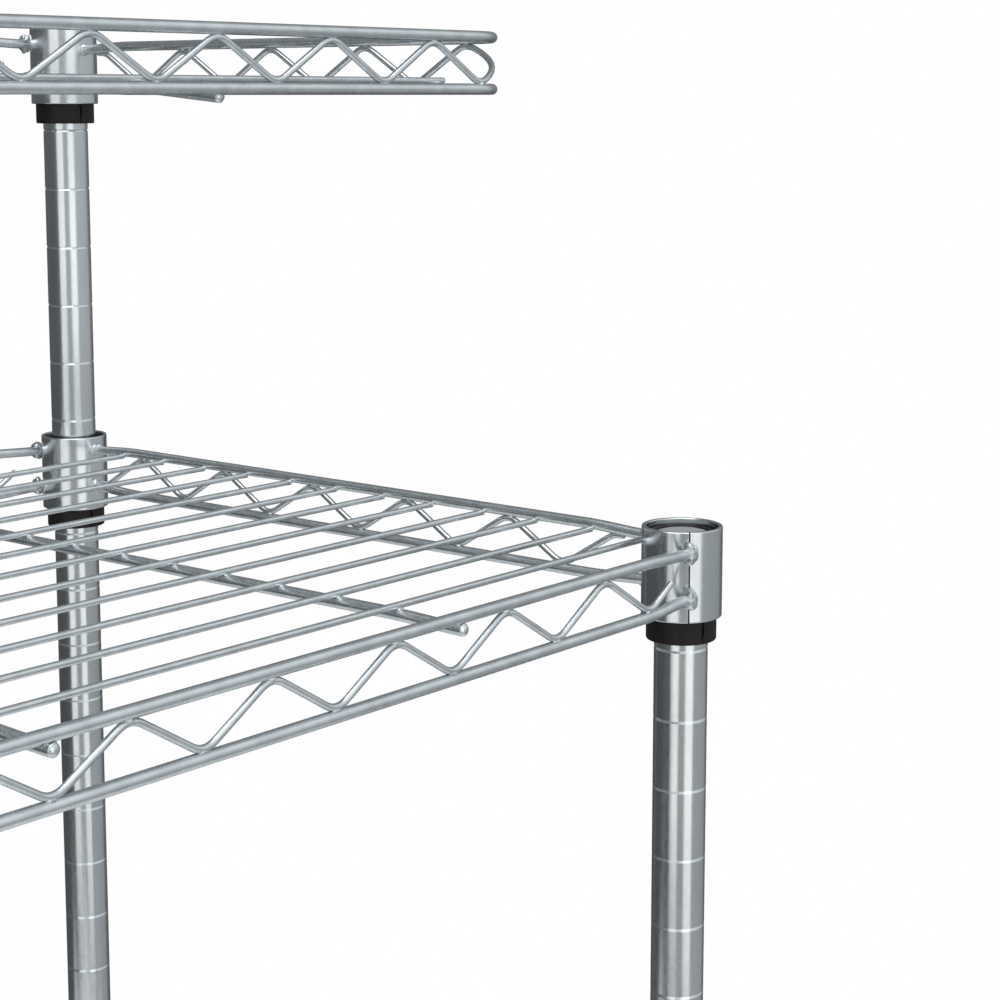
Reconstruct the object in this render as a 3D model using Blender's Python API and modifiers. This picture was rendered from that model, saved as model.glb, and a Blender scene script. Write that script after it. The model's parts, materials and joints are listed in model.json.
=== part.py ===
"""Wire shelving rack: two wire shelves and a raised rear tray on four grooved tube posts.

Metres, +Z up. The origin is on the floor under the middle of the rack.
+X runs along the shelves and -Y is the front, where the posts are short.
The shelves drop onto split taper sleeves that clip into grooves in the posts.
"""
import math

import bmesh
import bpy
from mathutils import Vector

# Overall layout
POST_SPACING_X = 0.5811
POST_SPACING_Y = 0.3271
TRAY_DEPTH = 0.2540
POST_BOTTOM_Z = 0.020
GROOVE_PITCH = 0.0254
BOTTOM_SHELF_GROOVE = 4
MAIN_SHELF_GROOVE = 27
TRAY_GROOVE = 34

# Clearance that every fit keeps, and the steps in a turned shape
GAP = 0.0003
TURN_STEPS = 12

# Posts
POST_RADIUS = 0.009525
POST_WALL = 0.0011
POST_TOP_RECESS = 0.0035
GROOVE_DEPTH = 0.0006
GROOVE_WIDTH = 0.0026

# Split taper sleeves
SLEEVE_WALL = 0.002625
SLEEVE_BELOW_GROOVE = 0.0224
SLEEVE_BELOW_RIM = 0.0022
SLEEVE_EDGE = 0.0008

# Collars at the shelf corners
COLLAR_WALL = 0.0015
COLLAR_HEIGHT = 0.0322
COLLAR_BELOW_GROOVE = 0.0140
COLLAR_TAPER = 0.00045

# Wires
CHORD_RADIUS = 0.0020
RIB_RADIUS = 0.0020
THIN_RADIUS = 0.00115
WELD_SINK = 0.0004

# Trusses: two chords with a zigzag wire between them
TOP_CHORD_BELOW_RIM = 0.0060
SIDE_TRUSS_RAISE = 0.0015
TRAY_CHORD_BELOW_RIM = 0.0080
CHORD_SPACING = 0.0184
CHORD_INSET = 0.00025
ZIGZAG_PITCH = 0.0508
ZIGZAG_BEND = 0.0022
ZIGZAG_MARGIN = 0.02385
SIDE_ZIGZAG_SHIFT = 0.0035
RIM_ZIGZAG_MARGIN = 0.0225

# Decks
DECK_PITCH = 0.0254
DECK_WIRE_COUNT = 12
DECK_BELOW_RIM = 0.0060
RIB_SPACING = 0.156
TRAY_DECK_WIRE_COUNT = 8
TRAY_DECK_START = 0.0381
TRAY_RIB_SPACING = 0.1435
TRAY_RIB_DROP = 0.0026
TRAY_CORNER_RADIUS = 0.025
TRAY_REAR_RAISE = 0.0025

# Caps, foot inserts and levelling feet
CAP_HEAD = 0.0014
CAP_STEM = 0.010
INSERT_FLANGE = 0.0015
INSERT_STEM = 0.016
FOOT_RADIUS = 0.0125
FOOT_HEIGHT = 0.006
FOOT_EDGE = 0.0012
HEX_ACROSS_FLATS = 0.013
STUD_RADIUS = 0.003
STUD_REACH = 0.022

# Values worked out from those above
POST_X = POST_SPACING_X / 2
POST_Y = POST_SPACING_Y / 2
POST_BORE = POST_RADIUS - POST_WALL
SLEEVE_BORE = POST_RADIUS + GAP
SLEEVE_RADIUS = SLEEVE_BORE + SLEEVE_WALL
COLLAR_RADIUS = SLEEVE_RADIUS + GAP + COLLAR_WALL
FACE_OFFSET = COLLAR_RADIUS - CHORD_RADIUS - CHORD_INSET
COLLAR_BORE_LOW = SLEEVE_RADIUS + GAP
COLLAR_BORE_TOP = COLLAR_BORE_LOW - COLLAR_TAPER
SIDE_REACH = COLLAR_RADIUS + GAP
FACE_REACH = math.sqrt(SIDE_REACH ** 2 - (FACE_OFFSET - CHORD_RADIUS) ** 2)
ZIGZAG_RISE = CHORD_SPACING / 2 - CHORD_RADIUS - THIN_RADIUS + WELD_SINK
THIN_ON_RIB = RIB_RADIUS + THIN_RADIUS - WELD_SINK
INNER_FACE_Y = POST_Y + FACE_OFFSET - CHORD_RADIUS - GAP
OUTER_FACE_Y = POST_Y + FACE_OFFSET + CHORD_RADIUS
TRAY_FRONT_Y = POST_Y - TRAY_DEPTH
HALF_PITCH = ZIGZAG_PITCH / 2
CORNERS = {
    "front_left": (-POST_X, -POST_Y),
    "front_right": (POST_X, -POST_Y),
    "rear_left": (-POST_X, POST_Y),
    "rear_right": (POST_X, POST_Y),
}
REAR_CORNERS = ("rear_left", "rear_right")


def groove_z(index):
    """Height of a groove, counted up from the foot of the post."""
    return POST_BOTTOM_Z + GROOVE_PITCH * index


def collar_bottom_z(index):
    """Height of the lower edge of a collar whose sleeve sits in this groove."""
    return groove_z(index) - COLLAR_BELOW_GROOVE


def rim_z(index):
    """Height of the upper edge of a collar whose sleeve sits in this groove."""
    return collar_bottom_z(index) + COLLAR_HEIGHT


def clear_scene():
    for old in list(bpy.data.objects):
        bpy.data.objects.remove(old, do_unlink=True)


def new_collection(name):
    collection = bpy.data.collections.new(name)
    bpy.context.scene.collection.children.link(collection)
    return collection


def make_material(name, colour, roughness, metallic):
    material = bpy.data.materials.new(name)
    material.use_nodes = True
    shader = material.node_tree.nodes["Principled BSDF"]
    shader.inputs["Base Color"].default_value = (*colour, 1.0)
    shader.inputs["Roughness"].default_value = roughness
    shader.inputs["Metallic"].default_value = metallic
    material.diffuse_color = (*colour, 1.0)
    return material


def add_object(name, data, collection, material, parent=None):
    obj = bpy.data.objects.new(name, data)
    collection.objects.link(obj)
    obj.data.materials.clear()
    obj.data.materials.append(material)
    obj.parent = parent
    return obj


def evaluated_mesh(obj):
    """A plain mesh of the object as its modifiers leave it."""
    bpy.context.view_layer.update()
    graph = bpy.context.evaluated_depsgraph_get()
    return bpy.data.meshes.new_from_object(obj.evaluated_get(graph))


def turned(name, profile, collection, material, location=(0, 0, 0), steps=TURN_STEPS):
    """Turn a closed (radius, z) profile about Z; it runs down its outer side first."""
    mesh = bpy.data.meshes.new(name)
    count = len(profile)
    edges = [(i, (i + 1) % count) for i in range(count)]
    if any(radius == 0 for radius, _ in profile):
        edges = edges[:-1]
    mesh.from_pydata([(radius, 0, z) for radius, z in profile], edges, [])
    obj = add_object(name, mesh, collection, material)
    obj.location = location
    screw = obj.modifiers.new("turn", "SCREW")
    screw.steps = steps
    screw.render_steps = steps
    screw.use_merge_vertices = True
    screw.merge_threshold = 0.00001
    screw.use_smooth_shade = True
    return obj


def wire(name, points, radius, collection, material, rounding=2):
    """A round wire along the points, made as a closed mesh."""
    curve = bpy.data.curves.new(name, "CURVE")
    curve.dimensions = "3D"
    spline = curve.splines.new("POLY")
    spline.points.add(len(points) - 1)
    for place, point in zip(spline.points, points):
        place.co = (*point, 1.0)
    curve.bevel_depth = radius
    curve.bevel_resolution = rounding
    curve.use_fill_caps = True
    guide = add_object(name + "_curve", curve, collection, material)
    mesh = evaluated_mesh(guide)
    bpy.data.objects.remove(guide, do_unlink=True)
    shell = bmesh.new()
    shell.from_mesh(mesh)
    bmesh.ops.remove_doubles(shell, verts=shell.verts, dist=0.00001)
    shell.to_mesh(mesh)
    shell.free()
    return add_object(name, mesh, collection, material)


def welded(name, pieces, collection, material):
    """Join overlapping closed pieces into one solid, as a weld does."""
    base = pieces[0]
    for other in pieces[1:]:
        union = base.modifiers.new("weld", "BOOLEAN")
        union.operation = "UNION"
        union.solver = "EXACT"
        union.object = other
    mesh = evaluated_mesh(base)
    for piece in pieces:
        bpy.data.objects.remove(piece, do_unlink=True)
    mesh.shade_smooth()
    mesh.set_sharp_from_angle(angle=math.radians(40))
    return add_object(name, mesh, collection, material)


def make_post(corner, top_z, grooves, collection, material):
    """A tube with a shallow ring groove wherever a sleeve clips on."""
    x, y = CORNERS[corner]
    half = GROOVE_WIDTH / 2
    profile = [(POST_RADIUS, top_z)]
    for index in sorted(grooves, reverse=True):
        z = groove_z(index)
        profile += [
            (POST_RADIUS, z + half),
            (POST_RADIUS - GROOVE_DEPTH, z + half - GROOVE_DEPTH),
            (POST_RADIUS - GROOVE_DEPTH, z - half + GROOVE_DEPTH),
            (POST_RADIUS, z - half),
        ]
    profile += [(POST_RADIUS, POST_BOTTOM_Z), (POST_BORE, POST_BOTTOM_Z), (POST_BORE, top_z)]
    return turned("post_" + corner, profile, collection, material, (x, y, 0))


def make_cap(corner, top_z, collection, material):
    """A plug pressed into the top of a post, with a slightly domed head."""
    x, y = CORNERS[corner]
    stem = POST_BORE - GAP
    seat = top_z + GAP
    profile = [
        (0, seat + CAP_HEAD),
        (POST_RADIUS * 0.75, seat + CAP_HEAD * 0.8),
        (POST_RADIUS, seat + CAP_HEAD * 0.4),
        (POST_RADIUS, seat),
        (stem, seat),
        (stem, seat - CAP_STEM),
        (0, seat - CAP_STEM),
    ]
    return turned("post_cap_" + corner, profile, collection, material, (x, y, 0))


def make_foot_insert(corner, collection, material):
    """A threaded insert in the foot of a post; the flange carries the tube."""
    x, y = CORNERS[corner]
    stem = POST_BORE - GAP
    bore = STUD_RADIUS + GAP
    seat = POST_BOTTOM_Z - GAP
    profile = [
        (stem, seat + INSERT_STEM),
        (stem, seat),
        (POST_RADIUS, seat),
        (POST_RADIUS, seat - INSERT_FLANGE),
        (bore, seat - INSERT_FLANGE),
        (bore, seat + INSERT_STEM),
    ]
    return turned("foot_insert_" + corner, profile, collection, material, (x, y, 0))


def make_leveller(corner, collection, material, parent):
    """A round pad, a hexagon to turn it by and a stud, all one piece."""
    name = "leveller_" + corner
    hex_top = POST_BOTTOM_Z - 2 * GAP - INSERT_FLANGE
    pad_profile = [
        (0, FOOT_HEIGHT),
        (FOOT_RADIUS - FOOT_EDGE, FOOT_HEIGHT),
        (FOOT_RADIUS, FOOT_HEIGHT - FOOT_EDGE),
        (FOOT_RADIUS, FOOT_EDGE),
        (FOOT_RADIUS - FOOT_EDGE, 0),
        (0, 0),
    ]
    stud_profile = [
        (0, hex_top + STUD_REACH),
        (STUD_RADIUS, hex_top + STUD_REACH),
        (STUD_RADIUS, FOOT_HEIGHT / 2),
        (0, FOOT_HEIGHT / 2),
    ]
    hex_profile = [
        (0, hex_top),
        (HEX_ACROSS_FLATS / math.sqrt(3), hex_top),
        (HEX_ACROSS_FLATS / math.sqrt(3), FOOT_HEIGHT - FOOT_EDGE),
        (0, FOOT_HEIGHT - FOOT_EDGE),
    ]
    pieces = [
        turned(name + "_pad", pad_profile, collection, material),
        turned(name + "_hex", hex_profile, collection, material, steps=6),
        turned(name + "_stud", stud_profile, collection, material),
    ]
    obj = welded(name, pieces, collection, material)
    obj.parent = parent
    return obj


def sleeve_half_mesh(collection, cutters, material):
    """One half of the split sleeve, with the groove height at z = 0."""
    low = -SLEEVE_BELOW_GROOVE
    collar_z = -COLLAR_BELOW_GROOVE
    top = collar_z + COLLAR_HEIGHT - SLEEVE_BELOW_RIM
    top_radius = SLEEVE_RADIUS - COLLAR_TAPER * (top - collar_z) / COLLAR_HEIGHT
    bead_half = GROOVE_WIDTH / 2 - GAP
    bead_reach = SLEEVE_BORE - GROOVE_DEPTH
    profile = [
        (top_radius, top),
        (SLEEVE_RADIUS, collar_z),
        (SLEEVE_RADIUS, low + SLEEVE_EDGE),
        (SLEEVE_RADIUS - SLEEVE_EDGE, low),
        (SLEEVE_BORE, low),
        (SLEEVE_BORE, -bead_half),
        (bead_reach, -bead_half + GROOVE_DEPTH),
        (bead_reach, bead_half - GROOVE_DEPTH),
        (SLEEVE_BORE, bead_half),
        (SLEEVE_BORE, top),
    ]
    ring = turned("sleeve_ring", profile, collection, material)
    cutter_mesh = bpy.data.meshes.new("sleeve_split")
    box = bmesh.new()
    bmesh.ops.create_cube(box, size=4 * SLEEVE_RADIUS)
    box.to_mesh(cutter_mesh)
    box.free()
    cutter = bpy.data.objects.new("sleeve_split", cutter_mesh)
    cutters.objects.link(cutter)
    cutter.location = (-2 * SLEEVE_RADIUS + GAP / 2, 0, (low + top) / 2)
    cutter.hide_render = True
    cutter.display_type = "WIRE"
    split = ring.modifiers.new("split", "BOOLEAN")
    split.operation = "DIFFERENCE"
    split.solver = "EXACT"
    split.object = cutter
    mesh = evaluated_mesh(ring)
    bpy.data.objects.remove(ring, do_unlink=True)
    bpy.data.objects.remove(cutter, do_unlink=True)
    return mesh


def make_sleeves(shelf, index, corners, half_mesh, collection, material):
    """The two sleeve halves under each collar of a shelf."""
    for corner in corners:
        x, y = CORNERS[corner]
        for side, turn in (("inner", 0.0), ("outer", math.pi)):
            obj = add_object(f"sleeve_{shelf}_{corner}_{side}", half_mesh, collection, material)
            obj.location = (x, y, groove_z(index))
            inward = math.pi if x > 0 else 0.0
            obj.rotation_euler = (0, 0, inward + turn)


def make_collar(shelf, corner, index, collection, material, parent):
    """A short tube whose tapered bore jams onto the sleeve."""
    x, y = CORNERS[corner]
    low = collar_bottom_z(index)
    top = rim_z(index)
    profile = [
        (COLLAR_RADIUS, top),
        (COLLAR_RADIUS, low),
        (COLLAR_BORE_LOW, low),
        (COLLAR_BORE_TOP, top),
    ]
    obj = turned(f"{shelf}_collar_{corner}", profile, collection, material, (x, y, 0))
    obj.parent = parent
    return obj


def zigzag(stations, place):
    """Points of a zigzag wire; each station is (distance, height sign)."""
    points = []
    for number, (distance, sign) in enumerate(stations):
        is_end = number in (0, len(stations) - 1)
        if is_end:
            points.append(place(distance, sign * ZIGZAG_RISE))
            continue
        points.append(place(distance - ZIGZAG_BEND, sign * ZIGZAG_RISE))
        points.append(place(distance + ZIGZAG_BEND, sign * ZIGZAG_RISE))
    return points


def face_stations():
    """Zigzag of a front or rear truss: a lower bend in the middle, ends half way up."""
    end = POST_X - ZIGZAG_MARGIN
    count = int(end / HALF_PITCH)
    stations = [(k * HALF_PITCH, -1 if k % 2 == 0 else 1) for k in range(-count, count + 1)]
    last, last_sign = stations[-1]
    end_sign = last_sign * (1 - 2 * (end - last) / HALF_PITCH)
    return [(-end, end_sign)] + stations + [(end, end_sign)]


def side_stations():
    """Zigzag of a side truss: an upper bend at the front end, a lower bend at the rear."""
    span = POST_SPACING_Y - 2 * ZIGZAG_MARGIN
    count = 2 * round((span / HALF_PITCH - 1) / 2) + 1
    step = span / count
    start = -span / 2 + SIDE_ZIGZAG_SHIFT
    return [(start + k * step, 1 if k % 2 == 0 else -1) for k in range(count + 1)]


def make_truss(name, start, end, mid_z, stations, collection, material, parent):
    """Two straight chords and a zigzag between two points in plan."""
    start = Vector((*start, mid_z))
    end = Vector((*end, mid_z))
    middle = (start + end) / 2
    along = (end - start).normalized()
    rise = Vector((0, 0, CHORD_SPACING / 2))
    up = Vector((0, 0, 1))

    def place(distance, height):
        return middle + along * distance + up * height

    pieces = [
        wire(name + "_top", [start + rise, end + rise], CHORD_RADIUS, collection, material),
        wire(name + "_low", [start - rise, end - rise], CHORD_RADIUS, collection, material),
        wire(name + "_zigzag", zigzag(stations, place), THIN_RADIUS, collection, material, 1),
    ]
    obj = welded(name, pieces, collection, material)
    obj.parent = parent
    return obj


def deck_wire_half(y):
    """Half the length of a deck wire: to the side chord, or clear of a collar beside it."""
    half = POST_X - CHORD_RADIUS - GAP
    reach = COLLAR_RADIUS + GAP + THIN_RADIUS
    offset = POST_Y - abs(y)
    if abs(offset) < reach:
        half = min(half, POST_X - math.sqrt(reach ** 2 - offset ** 2))
    return half


def make_deck(name, wires, wire_z, rib_xs, rib_line, collection, material, parent):
    """Thin wires along X, as (y, half length), on cross ribs that follow (y, z) points."""
    pieces = []
    for number, x in enumerate(rib_xs):
        points = [(x, y, z) for y, z in rib_line]
        pieces.append(wire(f"{name}_rib_{number}", points, RIB_RADIUS, collection, material))
    for number, (y, half) in enumerate(wires):
        ends = [(-half, y, wire_z), (half, y, wire_z)]
        pieces.append(wire(f"{name}_wire_{number}", ends, THIN_RADIUS, collection, material, 1))
    obj = welded(name, pieces, collection, material)
    obj.parent = parent
    return obj


def make_shelf(shelf, index, collection, collar_material, wire_material):
    """A full rectangular shelf: four collars, four trusses and a deck."""
    parent = bpy.data.objects.new(shelf, None)
    collection.objects.link(parent)
    for corner in CORNERS:
        make_collar(shelf, corner, index, collection, collar_material, parent)
    rim = rim_z(index)
    mid_z = rim - TOP_CHORD_BELOW_RIM - CHORD_SPACING / 2
    face_x = POST_X - FACE_REACH
    side_y = POST_Y - SIDE_REACH
    for side, sign in (("front", -1), ("rear", 1)):
        y = sign * (POST_Y + FACE_OFFSET)
        make_truss(
            f"{shelf}_truss_{side}", (-face_x, y), (face_x, y), mid_z,
            face_stations(), collection, wire_material, parent,
        )
    for side, sign in (("left", -1), ("right", 1)):
        x = sign * POST_X
        make_truss(
            f"{shelf}_truss_{side}", (x, -side_y), (x, side_y), mid_z + SIDE_TRUSS_RAISE,
            side_stations(), collection, wire_material, parent,
        )
    front = -POST_Y - FACE_OFFSET
    wire_ys = [front + DECK_PITCH * k for k in range(1, DECK_WIRE_COUNT + 1)]
    wire_z = rim - DECK_BELOW_RIM
    rib_z = wire_z - THIN_ON_RIB
    under_z = rim - TOP_CHORD_BELOW_RIM - CHORD_RADIUS - RIB_RADIUS - GAP
    rib_line = [
        (-OUTER_FACE_Y, under_z),
        (-INNER_FACE_Y, under_z),
        (wire_ys[0], rib_z),
        (wire_ys[-1], rib_z),
        (INNER_FACE_Y, under_z),
        (OUTER_FACE_Y, under_z),
    ]
    make_deck(
        shelf + "_deck", [(y, deck_wire_half(y)) for y in wire_ys], wire_z,
        (-RIB_SPACING, 0.0, RIB_SPACING), rib_line, collection, wire_material, parent,
    )


def rim_plan(distance):
    """Plan point along the tray's rim, measured each way from the middle of its front."""
    sign = -1 if distance < 0 else 1
    run = abs(distance)
    straight = POST_X - TRAY_CORNER_RADIUS
    arc = TRAY_CORNER_RADIUS * math.pi / 2
    if run <= straight:
        return sign * run, TRAY_FRONT_Y
    if run <= straight + arc:
        angle = (run - straight) / TRAY_CORNER_RADIUS
        x = straight + TRAY_CORNER_RADIUS * math.sin(angle)
        y = TRAY_FRONT_Y + TRAY_CORNER_RADIUS * (1 - math.cos(angle))
        return sign * x, y
    return sign * POST_X, TRAY_FRONT_Y + TRAY_CORNER_RADIUS + run - straight - arc


def rim_run_at_side(from_post):
    """Distance along the rim of the point this far in front of the rear posts."""
    straight = POST_X - TRAY_CORNER_RADIUS
    arc = TRAY_CORNER_RADIUS * math.pi / 2
    return straight + arc + TRAY_DEPTH - TRAY_CORNER_RADIUS - from_post


def rim_chord(name, z, collection, material):
    straight = POST_X - TRAY_CORNER_RADIUS
    arc = TRAY_CORNER_RADIUS * math.pi / 2
    bends = 6
    runs = [straight + arc * k / bends for k in range(bends + 1)]
    runs.append(rim_run_at_side(SIDE_REACH))
    all_runs = [-run for run in reversed(runs)] + runs
    points = [(*rim_plan(run), z) for run in all_runs]
    return wire(name, points, CHORD_RADIUS, collection, material)


def rim_stations():
    """Zigzag of the tray's rim, as (run, height sign), from one rear post to the other."""
    front_end = POST_X - RIM_ZIGZAG_MARGIN
    front_count = int(front_end / HALF_PITCH)
    half = []
    for k in range(front_count):
        half.append((front_end - HALF_PITCH * k, -1 if k % 2 == 0 else 1))
    half.append((0, -1))
    half.reverse()
    for k in range(int((TRAY_DEPTH - TRAY_CORNER_RADIUS) / HALF_PITCH), 0, -1):
        half.append((rim_run_at_side(k * HALF_PITCH), -half[-1][1]))
    return [(-run, sign) for run, sign in reversed(half[1:])] + half


def rim_zigzag_points(mid_z):
    """The zigzag follows the front, turns both corners and runs back to the posts."""
    stations = rim_stations()
    straight = POST_X - TRAY_CORNER_RADIUS
    points = []
    for (run, sign), (next_run, next_sign) in zip(stations, stations[1:] + stations[-1:]):
        points.append((*rim_plan(run - ZIGZAG_BEND), mid_z + sign * ZIGZAG_RISE))
        points.append((*rim_plan(run + ZIGZAG_BEND), mid_z + sign * ZIGZAG_RISE))
        if next_run == run or max(abs(run), abs(next_run)) <= straight:
            continue
        first = run + ZIGZAG_BEND
        last = next_run - ZIGZAG_BEND
        steps = 4
        for k in range(1, steps):
            part = k / steps
            height = mid_z + (sign + (next_sign - sign) * part) * ZIGZAG_RISE
            points.append((*rim_plan(first + (last - first) * part), height))
    return points


def make_tray(shelf, index, collection, collar_material, wire_material):
    """The raised tray: it hangs forward from two collars, with its truss as a lip."""
    parent = bpy.data.objects.new(shelf, None)
    collection.objects.link(parent)
    for corner in REAR_CORNERS:
        make_collar(shelf, corner, index, collection, collar_material, parent)
    top_z = rim_z(index) - TRAY_CHORD_BELOW_RIM
    mid_z = top_z - CHORD_SPACING / 2
    low_z = top_z - CHORD_SPACING
    name = shelf + "_rim_truss"
    zigzag_points = rim_zigzag_points(mid_z)
    pieces = [
        rim_chord(name + "_top", top_z, collection, wire_material),
        rim_chord(name + "_low", low_z, collection, wire_material),
        wire(name + "_zigzag", zigzag_points, THIN_RADIUS, collection, wire_material, 1),
    ]
    rim = welded(name, pieces, collection, wire_material)
    rim.parent = parent
    face_x = POST_X - FACE_REACH
    rear_y = POST_Y + FACE_OFFSET
    make_truss(
        shelf + "_truss_rear", (-face_x, rear_y), (face_x, rear_y), mid_z + TRAY_REAR_RAISE,
        face_stations(), collection, wire_material, parent,
    )
    first = TRAY_FRONT_Y + TRAY_DECK_START
    wire_ys = [first + DECK_PITCH * k for k in range(TRAY_DECK_WIRE_COUNT)]
    wire_z = low_z + CHORD_RADIUS + THIN_RADIUS + GAP
    rib_z = wire_z - THIN_ON_RIB
    rib_line = [
        (TRAY_FRONT_Y + CHORD_RADIUS + GAP, low_z - TRAY_RIB_DROP),
        (wire_ys[0], rib_z),
        (wire_ys[-1], rib_z),
        (INNER_FACE_Y, low_z + TRAY_REAR_RAISE - TRAY_RIB_DROP),
    ]
    wires = [(y, POST_X + CHORD_RADIUS) for y in wire_ys]
    make_deck(
        shelf + "_deck", wires, wire_z, (-TRAY_RIB_SPACING, 0.0, TRAY_RIB_SPACING),
        rib_line, collection, wire_material, parent,
    )


def main():
    clear_scene()
    rack = new_collection("wire_shelving_rack")
    cutters = new_collection("cutters")
    zinc = make_material("bright_zinc", (0.62, 0.66, 0.69), 0.22, 1.0)
    wire_zinc = make_material("satin_wire", (0.55, 0.59, 0.62), 0.32, 1.0)
    black = make_material("black_plastic", (0.02, 0.018, 0.018), 0.55, 0.0)
    grey = make_material("grey_plastic", (0.30, 0.32, 0.33), 0.5, 0.0)

    tops = {
        "front_left": rim_z(MAIN_SHELF_GROOVE) - POST_TOP_RECESS,
        "front_right": rim_z(MAIN_SHELF_GROOVE) - POST_TOP_RECESS,
        "rear_left": rim_z(TRAY_GROOVE) - POST_TOP_RECESS,
        "rear_right": rim_z(TRAY_GROOVE) - POST_TOP_RECESS,
    }
    for corner, (x, y) in CORNERS.items():
        grooves = [BOTTOM_SHELF_GROOVE, MAIN_SHELF_GROOVE]
        if corner in REAR_CORNERS:
            grooves.append(TRAY_GROOVE)
        make_post(corner, tops[corner], grooves, rack, zinc)
        make_cap(corner, tops[corner], rack, grey)
        make_foot_insert(corner, rack, black)
        axis = bpy.data.objects.new("leveller_axis_" + corner, None)
        rack.objects.link(axis)
        axis.location = (x, y, 0)
        make_leveller(corner, rack, zinc, axis)

    half = sleeve_half_mesh(rack, cutters, black)
    make_sleeves("bottom", BOTTOM_SHELF_GROOVE, CORNERS, half, rack, black)
    make_sleeves("main", MAIN_SHELF_GROOVE, CORNERS, half, rack, black)
    make_sleeves("tray", TRAY_GROOVE, REAR_CORNERS, half, rack, black)

    make_shelf("bottom_shelf", BOTTOM_SHELF_GROOVE, rack, zinc, wire_zinc)
    make_shelf("main_shelf", MAIN_SHELF_GROOVE, rack, zinc, wire_zinc)
    make_tray("upper_tray", TRAY_GROOVE, rack, zinc, wire_zinc)


main()
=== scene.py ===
import json
import math

import bpy
from mathutils import Matrix, Vector, noise


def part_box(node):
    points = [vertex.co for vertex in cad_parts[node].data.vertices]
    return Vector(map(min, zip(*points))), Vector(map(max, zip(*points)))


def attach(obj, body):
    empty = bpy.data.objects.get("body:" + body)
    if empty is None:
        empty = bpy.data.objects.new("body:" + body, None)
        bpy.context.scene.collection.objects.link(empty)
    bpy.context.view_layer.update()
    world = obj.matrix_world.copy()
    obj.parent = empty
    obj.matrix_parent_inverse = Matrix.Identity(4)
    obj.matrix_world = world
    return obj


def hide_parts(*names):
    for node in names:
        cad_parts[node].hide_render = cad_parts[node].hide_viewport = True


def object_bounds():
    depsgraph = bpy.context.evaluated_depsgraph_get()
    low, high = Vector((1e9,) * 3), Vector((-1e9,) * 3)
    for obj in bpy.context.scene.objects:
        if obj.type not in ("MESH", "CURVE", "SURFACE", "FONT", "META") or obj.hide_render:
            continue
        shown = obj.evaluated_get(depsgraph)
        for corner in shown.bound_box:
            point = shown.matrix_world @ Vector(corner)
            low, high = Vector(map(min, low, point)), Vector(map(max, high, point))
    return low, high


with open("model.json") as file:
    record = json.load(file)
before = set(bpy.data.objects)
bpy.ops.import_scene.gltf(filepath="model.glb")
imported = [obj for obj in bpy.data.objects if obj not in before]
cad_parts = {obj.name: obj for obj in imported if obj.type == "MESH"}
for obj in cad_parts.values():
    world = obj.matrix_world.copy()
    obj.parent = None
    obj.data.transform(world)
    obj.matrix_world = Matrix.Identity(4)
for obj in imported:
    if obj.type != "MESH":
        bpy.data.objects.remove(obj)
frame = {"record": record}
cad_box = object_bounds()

# Sizes in metres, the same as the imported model's
CHORD_RADIUS = 0.0020
THIN_RADIUS = 0.00115
WELD_SINK = 0.0004
HALF_PITCH = 0.0254
ZIGZAG_BEND = 0.0022
ZIGZAG_MARGIN = 0.02385
SIDE_ZIGZAG_SHIFT = 0.0035
RIM_ZIGZAG_MARGIN = 0.0225
DECK_PITCH = 0.0254
DECK_WIRE_COUNT = 12
TRAY_WIRE_COUNT = 8
TRAY_DECK_START = 0.0381
TRAY_CORNER_RADIUS = 0.025
TRAY_RIB_DROP = 0.0026
RIB_SPACING = {"bottom_shelf": 0.156, "main_shelf": 0.156, "upper_tray": 0.1435}
POST_BOTTOM_Z = 0.020

# Detail of the posts and what is in them. A groove's steps are (share of its width, share of its
# depth), and a cap's dome is (share of its radius, drop)
POST_WALL = 0.0011
POST_CHAMFER = 0.0003
POST_EDGE_BAND = 0.0009
POST_TOP_MARGIN = 0.004
GROOVE_WIDTH = 0.0010
GROOVE_DEPTH = 0.0004
GROOVE_STEPS = (
    (0.85, 0), (0.6, 0), (0.5, 0), (0.38, 1), (0.22, 1),
    (-0.5, 0), (-0.6, 0), (-0.85, 0),
)
STEM_INSET = 0.0014
CAP_HEAD = 0.0014
CAP_DOME = ((0.35, 0.00004), (0.6, 0.00016), (0.8, 0.0004), (0.93, 0.00075))
INSERT_FLANGE = 0.0015
INSERT_BORE = 0.0033

# Detail of the levelling feet
PAD_HEIGHT = 0.0060
PAD_RADIUS = 0.0125
PAD_RIM = 0.0048
PAD_TOP_RADIUS = 0.0070
NUT_FLAT = 0.0065
NUT_BELOW_POST = 0.0021
STUD_RADIUS = 0.0029
THREAD_PITCH = 0.00125
THREAD_DEPTH = 0.0004

# Detail of the sleeves and collars; angles are in radians, or in degrees for the two tables
SLEEVE_RADIUS = 0.01245
SLEEVE_TAPER = 0.0003
SLEEVE_STRAIGHT = 0.011
SLEEVE_ROUND = 0.0007
SLEEVE_ON_POST = 0.0002
SLIT_HALF_ANGLE = 0.016
NOTCH_ANGLE = 0.03
NOTCH_HEIGHTS = (0.0035, 0.0065)
NOTCH_FROM = 0.8
NOTCH_OVER = 0.2
SLEEVE_ROWS = 18
SPLIT_TURN = {"front_right": -18.0, "rear_right": -7.5}
COLLAR_BORE_LOW = 0.01275
COLLAR_BORE_TOP = 0.0127
COLLAR_ROUND = 0.00055
SEAM_DEPTH = 0.0011
SEAM_HALF_ANGLE = 0.016
SEAM_SHADE_ANGLE = 0.0165
SEAM_STEPS = (-0.03, -0.018, -0.014, 0.014, 0.018, 0.03)
SEAM_CLEAR = 0.09
COLLAR_STEPS = 68
SEAM_OUTER = 0.0138
SEAM_SHADE_INNER = 0.0128
SEAM_AZIMUTH = {"front_right": -135.0, "rear_right": -62.0, "front_left": -28.0, "rear_left": 132.0}

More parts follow.
